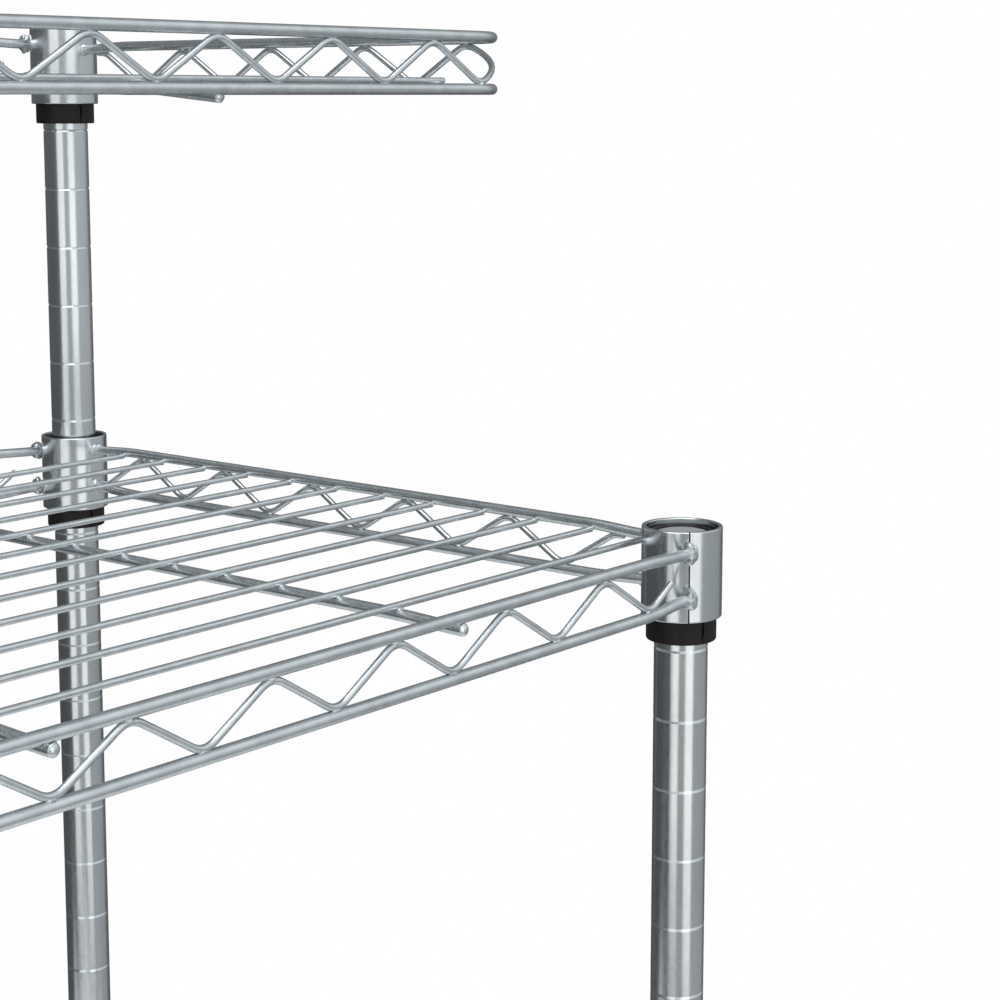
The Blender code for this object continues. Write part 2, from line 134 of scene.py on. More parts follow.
# Detail of the wires and welds
TIP_DOME = 0.5
TIP_SHARE = 0.7
TIP_BAND = 0.0004
BEND_REACH = 0.0026
CHORD_PINCH = 0.0011
PINCH_REACH = 0.028
CHORD_INTO_COLLAR = 0.0112
CHORD_LEAN_IN = 0.0013
SIDE_CHORD_SINK = 0.0006
FACE_BEAD_OUT = 0.0022
BOX_MARGIN = 0.0001
CHORD_SIDES = 18
RIB_SIDES = 16
THIN_SIDES = 12
RIB_END_SLOPE = (0.0008, 0.0042)
RIB_BEND_REACH = 0.006
RIB_SINK = 0.0002
WIRE_INTO_CHORD = 0.0004
WIRE_INTO_COLLAR = 0.0002
WIRE_SHORT_OF_RIM = 0.0006

# Beads of weld metal: (half sizes, unevenness, steps around, steps down)
FACE_BEAD = ((0.0040, 0.0042, 0.0046), 0.18, 26, 18)
CHORD_BEAD = ((0.0029, 0.0022, 0.0032), 0.16, 18, 12)
RUN_BEAD = ((0.0023, 0.0018, 0.0026), 0.2, 14, 10)
RIM_RUN_BEAD = ((0.0024, 0.0020, 0.0026), 0.2, 14, 10)
BEND_BEAD_X = ((0.0021, 0.00105, 0.00085), 0.15, 10, 6)
BEND_BEAD_Y = ((0.00105, 0.0021, 0.00085), 0.15, 10, 6)
RIM_BEND_BEAD_X = ((0.0021, 0.0013, 0.00085), 0.15, 10, 6)
RIM_BEND_BEAD_Y = ((0.0013, 0.0021, 0.00085), 0.15, 10, 6)
RIB_END_BEAD = ((0.0012, 0.0015, 0.0011), 0.15, 12, 8)
DECK_BEAD = ((0.0017, 0.0009, 0.0007), 0.15, 10, 6)
WIRE_END_BEAD = ((0.0013, 0.0016, 0.0014), 0.18, 12, 8)

# How far the middle of a bead is from the end or crossing it is on
CHORD_BEAD_IN = 0.0004
RUN_BEAD_IN = 0.0030
RIM_RUN_BEAD_IN = 0.0026
RUN_BEAD_UP = 0.0003
BEND_BEAD_SHIFT = 0.0006
BEND_BEAD_UP = THIN_RADIUS * 0.7
RIB_BEAD_IN = 0.0018
RIB_BEAD_ASIDE = 0.0012
RIB_BEAD_UP = 0.0016
DECK_BEAD_ASIDE = 0.0009
DECK_BEAD_DOWN = 0.0011
WIRE_BEAD_IN = 0.0003

record = frame["record"]
BODY_OF = {node: body for body, nodes in record["behaviour"]["bodies"].items() for node in nodes}
CORNERS = ("front_left", "front_right", "rear_left", "rear_right")
SHARP_ANGLE = 38.0
SOFTEN_SHARE = 0.46


class Shape:
    """Vertices, faces and face materials of one piece as it is built up."""

    def __init__(self):
        self.verts = []
        self.faces = []
        self.marks = []

    def add(self, verts, faces, mark=0):
        base = len(self.verts)
        self.verts += [tuple(v) for v in verts]
        for face in faces:
            ring = [base + i for n, i in enumerate(face) if i != face[n - 1]]
            if len(ring) > 2:
                self.faces.append(ring)
                self.marks.append(mark)


def soften(points, reach, steps=4, closed=False):
    """Replace each corner of a path by a short curve that starts this far from it."""
    points = [Vector(p) for p in points]
    count = len(points)
    result = []
    for i, corner in enumerate(points):
        if not closed and i in (0, count - 1):
            result.append(corner)
            continue
        before = points[i - 1] - corner
        after = points[(i + 1) % count] - corner
        first = corner + before.normalized() * min(reach, before.length * SOFTEN_SHARE)
        last = corner + after.normalized() * min(reach, after.length * SOFTEN_SHARE)
        for k in range(steps + 1):
            t = k / steps
            result.append(first * (1 - t) ** 2 + corner * 2 * t * (1 - t) + last * t * t)
    return result


def tube(shape, points, radius, sides):
    """A round wire through the points, with domed ends and a narrow band of faces beside each."""
    points = [Vector(p) for p in points]
    near = (points[1] - points[0]).normalized() * TIP_BAND
    away = (points[-2] - points[-1]).normalized() * TIP_BAND
    points = [points[0], points[0] + near] + points[1:-1] + [points[-1] + away, points[-1]]
    count = len(points)
    verts = []
    normal = None
    for i, point in enumerate(points):
        along = (points[min(i + 1, count - 1)] - points[max(i - 1, 0)]).normalized()
        if normal is None:
            normal = Vector((0, 0, 1)) if abs(along.z) < 0.9 else Vector((1, 0, 0))
        normal = (normal - along * normal.dot(along)).normalized()
        side = along.cross(normal)
        rings = [(point, radius)]
        if i == 0:
            rings.insert(0, (point - along * radius * TIP_DOME * TIP_SHARE, radius * TIP_SHARE))
            start_tip = point - along * radius * TIP_DOME
        if i == count - 1:
            rings.append((point + along * radius * TIP_DOME * TIP_SHARE, radius * TIP_SHARE))
            end_tip = point + along * radius * TIP_DOME
        for centre, size in rings:
            for k in range(sides):
                angle = 2 * math.pi * k / sides
                verts.append(centre + (normal * math.cos(angle) + side * math.sin(angle)) * size)
    total = count + 2
    faces = []
    for i in range(total - 1):
        for k in range(sides):
            n = (k + 1) % sides
            faces.append((i * sides + k, i * sides + n, (i + 1) * sides + n, (i + 1) * sides + k))
    verts += [start_tip, end_tip]
    last = (total - 1) * sides
    for k in range(sides):
        n = (k + 1) % sides
        faces.append((n, k, total * sides))
        faces.append((last + k, last + n, total * sides + 1))
    shape.add(verts, faces)


def turn(shape, profile, centre, angles=None, steps=56, reshape=None):
    """Turn a closed (radius, height) profile about Z; it goes down its outer side first."""
    full = angles is None
    if full:
        angles = [2 * math.pi * k / steps for k in range(steps)]
    rows = len(profile)
    verts = []
    for angle in angles:
        for radius, z in profile:
            r, a = (radius, angle) if reshape is None else reshape(radius, z, angle)
            verts.append((centre[0] + r * math.cos(a), centre[1] + r * math.sin(a), z))
    index = {}
    for k in range(len(angles)):
        for i, (radius, _) in enumerate(profile):
            index[k, i] = i if radius == 0 else k * rows + i
    faces = []
    for k in range(len(angles) if full else len(angles) - 1):
        n = (k + 1) % len(angles)
        for i in range(rows):
            j = (i + 1) % rows
            if profile[i][0] == 0 and profile[j][0] == 0:
                continue
            faces.append((index[k, i], index[k, j], index[n, j], index[n, i]))
    if not full:
        last = (len(angles) - 1) * rows
        faces.append(tuple(range(rows - 1, -1, -1)))
        faces.append(tuple(range(last, last + rows)))
    shape.add(verts, faces)


def blob(shape, centre, size, lumps, across, down, turned_by=0.0, reach=None):
    """A bead of weld metal; lumps makes it uneven, and reach holds it near its centre in X and Y."""
    spin = Matrix.Rotation(turned_by, 3, "Z")
    place = Vector(centre)
    verts = []
    for i in range(down + 1):
        polar = math.pi * i / down
        for k in range(across):
            angle = 2 * math.pi * k / across
            around = math.sin(polar)
            ray = Vector((around * math.cos(angle), around * math.sin(angle), math.cos(polar)))
            grow = 1.0 - lumps + lumps * 1.3 * noise.noise(ray * 1.7 + place * 400.0)
            offset = spin @ Vector(r * s for r, s in zip(ray, size)) * min(grow, 1.0)
            if reach:
                offset.x = reach * math.tanh(offset.x / reach)
                offset.y = reach * math.tanh(offset.y / reach)
            verts.append(place + offset)
    faces = []
    for i in range(down):
        for k in range(across):
            n = (k + 1) % across
            top = [i * across + k, i * across + n]
            low = [(i + 1) * across + n, (i + 1) * across + k]
            if i == 0:
                top = [0, 0]
            if i == down - 1:
                low = [down * across, down * across]
            faces.append((*low, *top))
    shape.add(verts, faces, 1)


def piece(node, shape, materials):
    """The finished surface that stands for one CAD node; its first material is the main one."""
    mesh = bpy.data.meshes.new("fine_" + node)
    mesh.from_pydata(shape.verts, [], shape.faces)
    mesh.polygons.foreach_set("material_index", shape.marks)
    mesh.shade_smooth()
    mesh.set_sharp_from_angle(angle=math.radians(SHARP_ANGLE))
    obj = bpy.data.objects.new("fine_" + node, mesh)
    bpy.context.scene.collection.objects.link(obj)
    for material in materials:
        mesh.materials.append(material)
    even = obj.modifiers.new("even_shading", "WEIGHTED_NORMAL")
    even.keep_sharp = True
    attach(obj, BODY_OF[node])
    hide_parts(node)


# ---------------------------------------------------------------- materials

NOISE_SPAN = (0.3, 0.7)
METAL_SPAN = (0.35, 0.65)
METAL_BUMP_DEPTH = 0.00008
PLASTIC_BUMP = 0.35
PLASTIC_BUMP_DEPTH = 0.00006
PLASTIC_SPECULAR = 0.28
PLASTIC_GRAIN = 1500
PLASTIC_CLOUD = 50
PLASTIC_ROUGHNESS = (0.40, 0.58)


def new_material(name, metallic):
    """A new material, with its node tree, its main shader and its object coordinates."""
    material = bpy.data.materials.new(name)
    material.use_nodes = True
    tree = material.node_tree
    shader = tree.nodes["Principled BSDF"]
    shader.inputs["Metallic"].default_value = metallic
    coords = tree.nodes.new("ShaderNodeTexCoord")
    return material, tree, shader, coords


def noise_node(tree, coords, scale, stretch=(1, 1, 1), detail=3.0):
    """Noise in the object's own metres."""
    mapping = tree.nodes.new("ShaderNodeMapping")
    mapping.inputs["Scale"].default_value = stretch
    texture = tree.nodes.new("ShaderNodeTexNoise")
    texture.inputs["Scale"].default_value = scale
    texture.inputs["Detail"].default_value = detail
    tree.links.new(coords.outputs["Object"], mapping.inputs["Vector"])
    tree.links.new(mapping.outputs["Vector"], texture.inputs["Vector"])
    return texture


def ramp_node(tree, source, stops):
    """Turn a noise into colours between these (place, colour) stops."""
    ramp = tree.nodes.new("ShaderNodeValToRGB")
    ramp.color_ramp.elements[0].position = stops[0][0]
    ramp.color_ramp.elements[0].color = (*stops[0][1], 1.0)
    ramp.color_ramp.elements[1].position = stops[-1][0]
    ramp.color_ramp.elements[1].color = (*stops[-1][1], 1.0)
    for position, colour in stops[1:-1]:
        ramp.color_ramp.elements.new(position).color = (*colour, 1.0)
    tree.links.new(source.outputs["Fac"], ramp.inputs["Fac"])
    return ramp


def range_node(tree, source, low, high):
    """Turn a noise into values between low and high."""
    spread = tree.nodes.new("ShaderNodeMapRange")
    spread.inputs["From Min"].default_value = NOISE_SPAN[0]
    spread.inputs["From Max"].default_value = NOISE_SPAN[1]
    spread.inputs["To Min"].default_value = low
    spread.inputs["To Max"].default_value = high
    tree.links.new(source.outputs["Fac"], spread.inputs["Value"])
    return spread


def bump_node(tree, source, shader, strength, distance):
    """Let a noise shade the surface as if it had this relief."""
    bump = tree.nodes.new("ShaderNodeBump")
    bump.inputs["Strength"].default_value = strength
    bump.inputs["Distance"].default_value = distance
    tree.links.new(source.outputs["Fac"], bump.inputs["Height"])
    tree.links.new(bump.outputs["Normal"], shader.inputs["Normal"])


def metal(name, dark, light, rough_low, rough_high, cloud, grain, strength, stretch=(1, 1, 1)):
    """Plated steel: cloudy colour and gloss, with a fine grain."""
    material, tree, shader, coords = new_material(name, 1.0)
    clouds = noise_node(tree, coords, cloud, stretch)
    fine = noise_node(tree, coords, grain, stretch, 2.0)
    colour = ramp_node(tree, clouds, ((METAL_SPAN[0], dark), (METAL_SPAN[1], light)))
    tree.links.new(colour.outputs["Color"], shader.inputs["Base Color"])
    gloss = range_node(tree, fine, rough_low, rough_high)
    tree.links.new(gloss.outputs["Result"], shader.inputs["Roughness"])
    bump_node(tree, fine, shader, strength, METAL_BUMP_DEPTH)
    return material


def plastic(name, dark, light):
    """Moulded plastic with a fine spark-eroded texture."""
    material, tree, shader, coords = new_material(name, 0.0)
    fine = noise_node(tree, coords, PLASTIC_GRAIN, detail=4.0)
    clouds = noise_node(tree, coords, PLASTIC_CLOUD)
    colour = ramp_node(tree, clouds, ((NOISE_SPAN[0], dark), (NOISE_SPAN[1], light)))
    tree.links.new(colour.outputs["Color"], shader.inputs["Base Color"])
    shader.inputs["Specular IOR Level"].default_value = PLASTIC_SPECULAR
    gloss = range_node(tree, fine, *PLASTIC_ROUGHNESS)
    tree.links.new(gloss.outputs["Result"], shader.inputs["Roughness"])
    bump_node(tree, fine, shader, PLASTIC_BUMP, PLASTIC_BUMP_DEPTH)
    return material


ZINC = metal(
    "bright_zinc", (0.60, 0.635, 0.655), (0.69, 0.725, 0.74),
    rough_low=0.17, rough_high=0.24, cloud=60, grain=1200, strength=0.02, stretch=(1, 1, 0.3),
)
WIRE = metal(
    "satin_wire", (0.62, 0.66, 0.685), (0.73, 0.77, 0.79),
    rough_low=0.26, rough_high=0.32, cloud=160, grain=900, strength=0.012,
)
WELD = metal(
    "weld_metal", (0.42, 0.46, 0.48), (0.80, 0.83, 0.84),
    rough_low=0.30, rough_high=0.50, cloud=700, grain=1800, strength=0.60,
)
# Near-black metal for the faces in the collar seams: painted shade standing in for the shade inside the
# slot
PAINTED_SEAM_SHADE = metal(
    "painted_seam_shade", (0.03, 0.03, 0.03), (0.07, 0.07, 0.068),
    rough_low=0.5, rough_high=0.7, cloud=700, grain=1800, strength=0.1,
)
BLACK = plastic("black_plastic", (0.0045, 0.0036, 0.0034), (0.011, 0.0088, 0.0082))
GREY = plastic("grey_plastic", (0.27, 0.285, 0.295), (0.33, 0.345, 0.35))


# ---------------------------------------------------------------- places

def middle(node):
    """The middle of a CAD node's box."""
    low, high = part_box(node)
    return [(a + b) / 2 for a, b in zip(low, high)]


POSTS = {corner: middle("post_" + corner)[:2] for corner in CORNERS}
POST_X, POST_Y = POSTS["rear_right"]
POST_RADIUS = (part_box("post_rear_right")[1][0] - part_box("post_rear_right")[0][0]) / 2
COLLAR_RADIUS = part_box("main_shelf_collar_rear_right")[1][0] - POST_X
ZIGZAG_DROP = CHORD_RADIUS + THIN_RADIUS - WELD_SINK


# ---------------------------------------------------------------- posts and sleeves

def build_post(corner):
    """A tube with a chamfer at each end and a groove at every half pitch of the zigzag."""
    low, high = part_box("post_" + corner)
    bottom, top = low[2], high[2]
    chamfered = POST_RADIUS - POST_CHAMFER
    profile = [(chamfered, top), (POST_RADIUS, top - POST_CHAMFER), (POST_RADIUS, top - POST_EDGE_BAND)]
    count = int((top - POST_BOTTOM_Z - POST_TOP_MARGIN) / HALF_PITCH)
    for index in range(count, 0, -1):
        z = POST_BOTTOM_Z + HALF_PITCH * index
        for step, depth in GROOVE_STEPS:
            profile.append((POST_RADIUS - GROOVE_DEPTH * depth, z + GROOVE_WIDTH * step))
    profile += [(POST_RADIUS, bottom + POST_EDGE_BAND), (POST_RADIUS, bottom + POST_CHAMFER)]
    profile += [(chamfered, bottom), (POST_RADIUS - POST_WALL, bottom), (POST_RADIUS - POST_WALL, top)]
    shape = Shape()
    turn(shape, profile, POSTS[corner], steps=72)
    piece("post_" + corner, shape, [ZINC])


def build_cap(corner):
    """The slightly domed plug in the top of a post."""
    low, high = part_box("post_cap_" + corner)
    top = high[2]
    stem = POST_RADIUS - STEM_INSET
    head = top - CAP_HEAD
    profile = [(0, top)] + [(POST_RADIUS * share, top - drop) for share, drop in CAP_DOME]
    profile += [(POST_RADIUS, head + 0.0003), (POST_RADIUS, head + 0.00004), (stem, head)]
    profile += [(stem, low[2] + 0.001), (stem - 0.001, low[2]), (0, low[2])]
    shape = Shape()
    turn(shape, profile, POSTS[corner])
    piece("post_cap_" + corner, shape, [GREY])


def build_insert(corner):
    """The insert in the foot of a post, with a flange under the tube."""
    node = "foot_insert_" + corner
    low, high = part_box(node)
    flange = low[2] + INSERT_FLANGE
    stem = POST_RADIUS - STEM_INSET
    outline = [(stem, high[2]), (stem, flange), (POST_RADIUS, flange), (POST_RADIUS, low[2])]
    outline += [(INSERT_BORE, low[2]), (INSERT_BORE, high[2])]
    profile = [(p.x, p.y) for p in soften([(r, z, 0) for r, z in outline], 0.0005, 3, True)]
    shape = Shape()
    turn(shape, profile, POSTS[corner])
    piece(node, shape, [BLACK])


def build_foot(corner):
    """A levelling foot: a round pad, a hexagon to turn it by and a threaded stud."""
    node = "leveller_" + corner
    stud_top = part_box(node)[1][2]
    shape = Shape()
    outline = [(PAD_TOP_RADIUS, PAD_HEIGHT), (PAD_RADIUS, PAD_RIM), (PAD_RADIUS, 0.0)]
    rounded = soften([(r, z, 0) for r, z in outline], 0.0008, 4)
    profile = [(0, PAD_HEIGHT)] + [(p.x, p.y) for p in rounded[:-1]] + [(PAD_RADIUS - 0.001, 0.0), (0, 0.0)]
    turn(shape, profile, POSTS[corner])
    hex_top = POST_BOTTOM_Z - NUT_BELOW_POST

    def hexagon(radius, z, angle):
        turn_by = (angle + math.pi / 6) % (math.pi / 3) - math.pi / 6
        return min(radius, NUT_FLAT / math.cos(turn_by)) if radius > NUT_FLAT else radius, angle

    nut_corner = NUT_FLAT / math.cos(math.pi / 6)
    nut = [(0, hex_top), (NUT_FLAT * 0.98, hex_top), (nut_corner, hex_top - 0.0006)]
    nut += [(nut_corner, PAD_HEIGHT - 0.0002), (NUT_FLAT, PAD_HEIGHT - 0.001), (0, PAD_HEIGHT - 0.001)]
    turn(shape, nut, POSTS[corner], steps=72, reshape=hexagon)

    def thread(radius, z, angle):
        if radius < STUD_RADIUS:
            return radius, angle
        wave = (z / THREAD_PITCH - angle / (2 * math.pi)) % 1.0
        return radius - THREAD_DEPTH * abs(2 * wave - 1), angle

    rows = int((stud_top - hex_top) / THREAD_PITCH * 8)
    heights = [stud_top - (stud_top - hex_top + 0.001) * k / rows for k in range(rows + 1)]
    stud = [(0, stud_top)] + [(STUD_RADIUS, z) for z in heights] + [(0, heights[-1])]
    turn(shape, stud, POSTS[corner], steps=24, reshape=thread)
    piece(node, shape, [ZINC])


def build_sleeve(shelf, corner, half):
    """Half of a taper sleeve, with a shallow notch low in each of its two long edges."""
    node = f"sleeve_{shelf}_{corner}_{half}"
    low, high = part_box(node)
    bottom, top = low[2], high[2]
    bore = POST_RADIUS + SLEEVE_ON_POST
    outline = [(SLEEVE_RADIUS - SLEEVE_TAPER, top), (SLEEVE_RADIUS, bottom + SLEEVE_STRAIGHT)]
    outline += [(SLEEVE_RADIUS, bottom), (bore, bottom), (bore, top)]
    profile = [(p.x, p.y) for p in soften([(r, z, 0) for r, z in outline], SLEEVE_ROUND, 4, True)]
    x, y = POSTS[corner]
    facing = math.atan2(middle(node)[1] - y, middle(node)[0] - x)
    facing += math.radians(SPLIT_TURN.get(corner, 0.0))
    spread = math.pi / 2 - SLIT_HALF_ANGLE
    angles = [facing + spread * (2 * k / SLEEVE_ROWS - 1) for k in range(SLEEVE_ROWS + 1)]
    column = [bottom + 0.008 - 0.001 * k for k in range(6)]
    fine = []
    for (r0, z0), (r1, z1) in zip(profile, profile[1:] + profile[:1]):
        fine.append((r0, z0))
        inside = [z for z in column if min(z0, z1) + 1e-5 < z < max(z0, z1) - 1e-5]
        for z in sorted(inside, reverse=z0 > z1):
            part = (z - z0) / (z1 - z0)
            fine.append((r0 + (r1 - r0) * part, z))

    def notch(radius, z, angle):
        share = (angle - facing) / spread
        depth = NOTCH_ANGLE if bottom + NOTCH_HEIGHTS[0] < z < bottom + NOTCH_HEIGHTS[1] else 0.0
        near_edge = max(0.0, abs(share) - NOTCH_FROM)
        return radius, facing + share * (spread - depth * near_edge / NOTCH_OVER)

    shape = Shape()
    turn(shape, fine, POSTS[corner], angles=angles, reshape=notch)
    piece(node, shape, [BLACK])


def build_collar(shelf, corner):
    """A rolled collar whose two edges meet in a narrow seam; the near-black material on the faces in the
    seam is painted shade.
    """
    node = f"{shelf}_collar_{corner}"
    low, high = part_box(node)
    bottom, top = low[2], high[2]
    outline = [(COLLAR_RADIUS, top), (COLLAR_RADIUS, bottom)]
    outline += [(COLLAR_BORE_LOW, bottom), (COLLAR_BORE_TOP, top)]
    profile = [(p.x, p.y) for p in soften([(r, z, 0) for r, z in outline], COLLAR_ROUND, 4, True)]
    seam = math.radians(SEAM_AZIMUTH[corner])
    angles = [seam + a for a in SEAM_STEPS]
    around = 2 * math.pi - 2 * SEAM_CLEAR
    angles += [seam + SEAM_CLEAR + around * k / COLLAR_STEPS for k in range(COLLAR_STEPS + 1)]
    angles.sort()
    angles.append(angles[0] + 2 * math.pi)

    def seam_dip(radius, z, angle):
        in_seam = abs(angle - seam) < SEAM_HALF_ANGLE and radius > SEAM_OUTER
        return radius - SEAM_DEPTH if in_seam else radius, angle

    shape = Shape()
    turn(shape, profile, POSTS[corner], angles=angles, reshape=seam_dip)
    x, y = POSTS[corner]
    line = Vector((math.cos(seam), math.sin(seam)))
    # Painted shade: the faces in the seam get the near-black seam material in place of the shade inside the
    # slot
    for number, face in enumerate(shape.faces):
        centre = sum((Vector(shape.verts[k]) for k in face), Vector()) / len(face)
        out = Vector((centre.x - x, centre.y - y))
        if out.length > SEAM_SHADE_INNER and out.angle(line, 1.0) < SEAM_SHADE_ANGLE:
            shape.marks[number] = 1
    piece(node, shape, [ZINC, PAINTED_SEAM_SHADE])


# ---------------------------------------------------------------- trusses and decks

def bend_path(stations, place):
    """A smooth zigzag through (distance, height sign) stations."""
    points = []
    for number, (distance, sign) in enumerate(stations):
        if number in (0, len(stations) - 1) and abs(sign) < 1:
            points.append(place(distance, sign))
            continue
        points.append(place(distance - ZIGZAG_BEND, sign))
        points.append(place(distance + ZIGZAG_BEND, sign))
    return soften(points, BEND_REACH, 4)


def pinch(part):
    """How far a chord's end has closed in, from 0 where it starts to 1 at its tip."""
    return part * part * (3 - 2 * part)


def build_truss(shelf, side, stations):
    """Two chords whose ends close in a little at the collars, with the zigzag welded between."""
    node = f"{shelf}_truss_{side}"
    low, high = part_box(node)
    mid_z = (low[2] + high[2]) / 2
    rise = (high[2] - low[2]) / 2 - CHORD_RADIUS
    bend_rise = rise - ZIGZAG_DROP
    along_x = side in ("front", "rear")
    cx, cy = (low[0] + high[0]) / 2, (low[1] + high[1]) / 2
    reach = POST_X - CHORD_INTO_COLLAR if along_x else POST_Y - COLLAR_RADIUS + SIDE_CHORD_SINK

    def place(distance, z):
        return (cx + distance, cy, z) if along_x else (cx, cy + distance, z)

    lean = math.copysign(CHORD_LEAN_IN, -cy) if along_x else 0.0
    shape = Shape()
    for sign in (-1, 1):
        points = []
        steps = 10
        for end in (-1, 1):
            run = [(reach - PINCH_REACH * k / steps, 1 - k / steps) for k in range(steps + 1)]
            if end == 1:
                run.reverse()
            for distance, part in run:
                ease = pinch(part)
                x, y, z = place(end * distance, mid_z + sign * (rise - CHORD_PINCH * ease))
                points.append((x, y + lean * ease, z))
        tube(shape, points, CHORD_RADIUS, CHORD_SIDES)
        z = mid_z + sign * (rise - CHORD_PINCH)
        for end in (-1, 1):
            if along_x:
                outward = math.atan2(1 if cy > 0 else -1, -end)
                x = end * POST_X + (COLLAR_RADIUS + FACE_BEAD_OUT) * math.cos(outward)
                y = math.copysign(POST_Y, cy) + (COLLAR_RADIUS + FACE_BEAD_OUT) * math.sin(outward)
                room = cad_box[1][1] - abs(y) - BOX_MARGIN
                blob(shape, (x, y, z), *FACE_BEAD, outward, room)
                continue
            x, y, _ = place(end * (reach - CHORD_BEAD_IN), z)
            blob(shape, (x, y, z), *CHORD_BEAD)
            x, y, _ = place(end * (reach - RUN_BEAD_IN), z)
            blob(shape, (x, y, z + RUN_BEAD_UP * sign), *RUN_BEAD)
    path = bend_path(stations, lambda d, s: place(d, mid_z + s * bend_rise))
    tube(shape, path, THIN_RADIUS, THIN_SIDES)
    for distance, sign in stations:
        if abs(sign) < 1:
            continue
        z = mid_z + sign * (bend_rise + BEND_BEAD_UP)
        for shift in (-BEND_BEAD_SHIFT, BEND_BEAD_SHIFT):
            x, y, _ = place(distance + shift, z)
            centre = (x, y + shift, z) if along_x else (x + shift, y, z)
            blob(shape, centre, *(BEND_BEAD_X if along_x else BEND_BEAD_Y))
    piece(node, shape, [WIRE, WELD])


def face_stations():
    """Where the zigzag of a front or rear truss turns: (distance from its middle, height sign)."""
    end = POST_X - ZIGZAG_MARGIN
    count = int(end / HALF_PITCH)
    stations = [(k * HALF_PITCH, -1 if k % 2 == 0 else 1) for k in range(-count, count + 1)]
    last, sign = stations[-1]
    end_sign = sign * (1 - 2 * (end - last) / HALF_PITCH)
    return [(-end, end_sign)] + stations + [(end, end_sign)]


def side_stations():
    """Where the zigzag of a side truss turns, from front to rear."""
    span = 2 * (POST_Y - ZIGZAG_MARGIN)
    count = 2 * round((span / HALF_PITCH - 1) / 2) + 1
    start = -span / 2 + SIDE_ZIGZAG_SHIFT
    return [(start + k * span / count, 1 if k % 2 == 0 else -1) for k in range(count + 1)]


def build_deck(shelf, wires, rib_line):
    """Thin wires welded across the ribs; each wire is (y, half length)."""
    shape = Shape()
    wire_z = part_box(shelf + "_deck")[1][2] - THIN_RADIUS
    ribs = (-RIB_SPACING[shelf], 0.0, RIB_SPACING[shelf])
    for x in ribs:
        path = soften([(x, y, z) for y, z in rib_line], RIB_BEND_REACH, 5)
        tube(shape, path, CHORD_RADIUS, RIB_SIDES)
        for y, z in (rib_line[0], rib_line[-1]):
            inward = RIB_BEAD_IN if y < 0 else -RIB_BEAD_IN
            for side in (-1, 1):
                centre = (x + side * RIB_BEAD_ASIDE, y + inward, z + RIB_BEAD_UP)
                blob(shape, centre, *RIB_END_BEAD)
    for y, half in wires:
        tube(shape, [(-half, y, wire_z), (half, y, wire_z)], THIN_RADIUS, THIN_SIDES)
        for x in ribs:
            for sign in (-1, 1):
                centre = (x, y + sign * DECK_BEAD_ASIDE, wire_z - DECK_BEAD_DOWN)
                blob(shape, centre, *DECK_BEAD)
        for sign in (-1, 1):
            blob(shape, (sign * (half - WIRE_BEAD_IN), y, wire_z), *WIRE_END_BEAD)
    piece(shelf + "_deck", shape, [WIRE, WELD])


def shelf_wires(shelf):
    """Where the deck wires of a full shelf lie, and how far each one reaches."""
    front = middle(shelf + "_truss_front")[1]
    wires = []
    for k in range(1, DECK_WIRE_COUNT + 1):
        y = front + DECK_PITCH * k
        half = POST_X - CHORD_RADIUS + WIRE_INTO_CHORD
        offset = POST_Y - abs(y)
        if abs(offset) < COLLAR_RADIUS:
            to_collar = POST_X - math.sqrt(COLLAR_RADIUS ** 2 - offset ** 2)
            half = min(half, to_collar + WIRE_INTO_COLLAR)
        wires.append((y, half))
    return wires


def build_shelf(shelf):
    """A full shelf: four collars, four trusses, and a deck whose ribs dip under the face chords."""
    for corner in CORNERS:
        build_collar(shelf, corner)
    for side in ("front", "rear"):
        build_truss(shelf, side, face_stations())
    for side in ("left", "right"):
        build_truss(shelf, side, side_stations())
    low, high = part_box(shelf + "_deck")
    rib_z = high[2] - THIN_RADIUS - ZIGZAG_DROP
    under_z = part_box(shelf + "_truss_front")[1][2] - 3 * CHORD_RADIUS + RIB_SINK
    wires = shelf_wires(shelf)
    tip, slope = RIB_END_SLOPE
    front_line = [(low[1] + tip, under_z), (low[1] + slope, under_z), (wires[0][0], rib_z)]
    rear_line = [(wires[-1][0], rib_z), (high[1] - slope, under_z), (high[1] - tip, under_z)]
    build_deck(shelf, wires, front_line + rear_line)


def rim_plan(distance, front_y):
    """Plan point on the tray's rim, measured each way from the middle of its front."""
    sign = -1 if distance < 0 else 1
    run = abs(distance)
    straight = POST_X - TRAY_CORNER_RADIUS
    arc = TRAY_CORNER_RADIUS * math.pi / 2
    if run <= straight:
        return sign * run, front_y
    if run <= straight + arc:
        angle = (run - straight) / TRAY_CORNER_RADIUS
        return (
            sign * (straight + TRAY_CORNER_RADIUS * math.sin(angle)),
            front_y + TRAY_CORNER_RADIUS * (1 - math.cos(angle)),
        )
    return sign * POST_X, front_y + TRAY_CORNER_RADIUS + run - straight - arc


